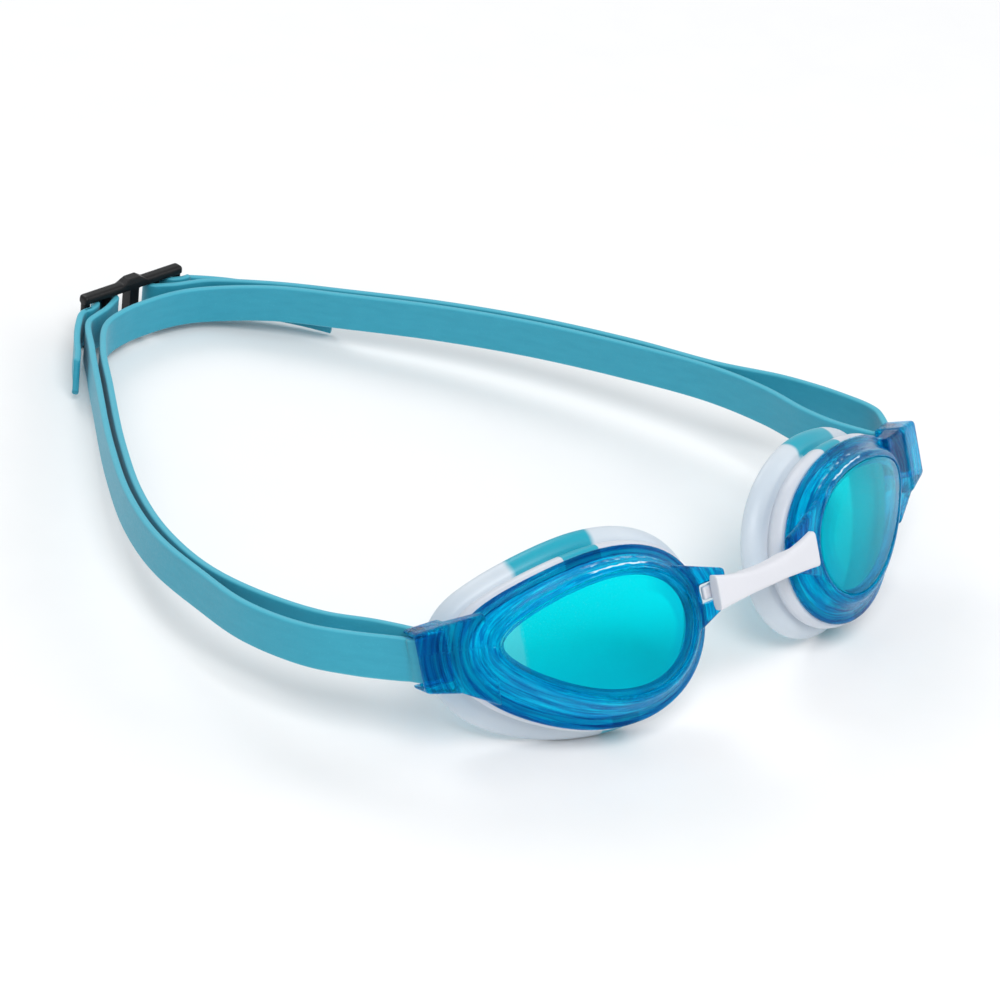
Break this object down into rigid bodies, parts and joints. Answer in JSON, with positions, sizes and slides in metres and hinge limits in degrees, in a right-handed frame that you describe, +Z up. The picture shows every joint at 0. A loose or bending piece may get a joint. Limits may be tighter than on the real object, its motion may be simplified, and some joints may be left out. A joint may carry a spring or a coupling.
{
  "type": "swim goggles",
  "caption": "Swim goggles: tinted clear teardrop eyepieces with soft gaskets, a white nose bridge, a doubled silicone strap and a rear ladder buckle.",
  "frame": {"origin": "bottom centre of the whole object's box, on the surface it rests on", "axes": "+Z up, -Y the way the eyepieces face, +Y towards the rear buckle, +X the wearer's left"},
  "size_m": [0.1672, 0.1982, 0.0405],
  "materials": {
    "frame": "clear tinted, polished",
    "lens": "clear tinted, polished, faintly frosted",
    "gasket": "soft translucent white with turquoise patches",
    "nose_bridge": "matt white",
    "strap": "matt turquoise silicone",
    "buckle": "satin black"
  },
  "bodies": {
    "eyepieces": {"left_frame": "frame", "right_frame": "frame", "left_lens": "lens", "right_lens": "lens", "left_gasket": "gasket", "right_gasket": "gasket", "strap_loop_left": "strap", "strap_loop_right": "strap"},
    "strap": {"strap_inner": "strap", "strap_outer_left": "strap", "strap_outer_right": "strap", "buckle": "buckle"},
    "bridge": {"nose_bridge": "nose_bridge"},
    "tail_left": {"strap_tail_left": "strap"},
    "tail_right": {"strap_tail_right": "strap"}
  },
  "joints": [
    {"name": "strap_tilt", "type": "hinge", "parent": "eyepieces", "child": "strap", "pos_m": [0.0047, -0.07086, 0.02305], "axis": [1, 0, 0], "range_deg": [-15, 35], "stiffness_Nm_per_rad": 0.04},
    {"name": "bridge_release", "type": "slide", "parent": "eyepieces", "child": "bridge", "axis": [0, -0.9135, 0.4067], "range_m": [0, 0.008]},
    {"name": "tail_left_pull", "type": "slide", "parent": "strap", "child": "tail_left", "axis": [-0.7632, -0.6462, 0], "range_m": [0, 0.008]},
    {"name": "tail_right_pull", "type": "slide", "parent": "strap", "child": "tail_right", "axis": [0.803, -0.596, 0], "range_m": [0, 0.008]}
  ]
}
